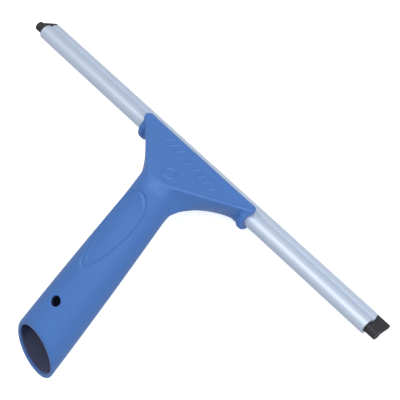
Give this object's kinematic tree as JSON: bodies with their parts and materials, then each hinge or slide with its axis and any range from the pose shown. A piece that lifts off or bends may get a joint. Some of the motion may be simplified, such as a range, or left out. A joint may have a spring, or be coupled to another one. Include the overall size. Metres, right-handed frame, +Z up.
{
  "type": "window cleaning squeegee",
  "caption": "Hand squeegee: moulded tapered grip with a pole socket, flat spreading head, sliding aluminium channel and replaceable rubber blade.",
  "frame": {"origin": "on the surface it rests on, under the middle of its box, resting on the blade's edge and the heel of the grip", "axes": "+X along the channel and blade, +Y from the grip's mouth towards the blade, +Z up from the surface"},
  "size_m": [0.2668, 0.148, 0.039],
  "materials": {
    "handle_plastic": "blue moulded polypropylene, satin",
    "channel_aluminium": "extruded, satin anodised",
    "blade_rubber": "black moulded rubber, matt"
  },
  "bodies": {
    "handle": {"handle": "handle_plastic"},
    "channel": {"channel": "channel_aluminium"},
    "rubber_blade": {"rubber_blade": "blade_rubber"}
  },
  "joints": [
    {"name": "channel_slide", "type": "slide", "parent": "handle", "child": "channel", "axis": [1, 0, 0], "range_m": [-0.16, 0.16]},
    {"name": "blade_slide", "type": "slide", "parent": "channel", "child": "rubber_blade", "axis": [1, 0, 0], "range_m": [-0.255, 0.255]}
  ]
}
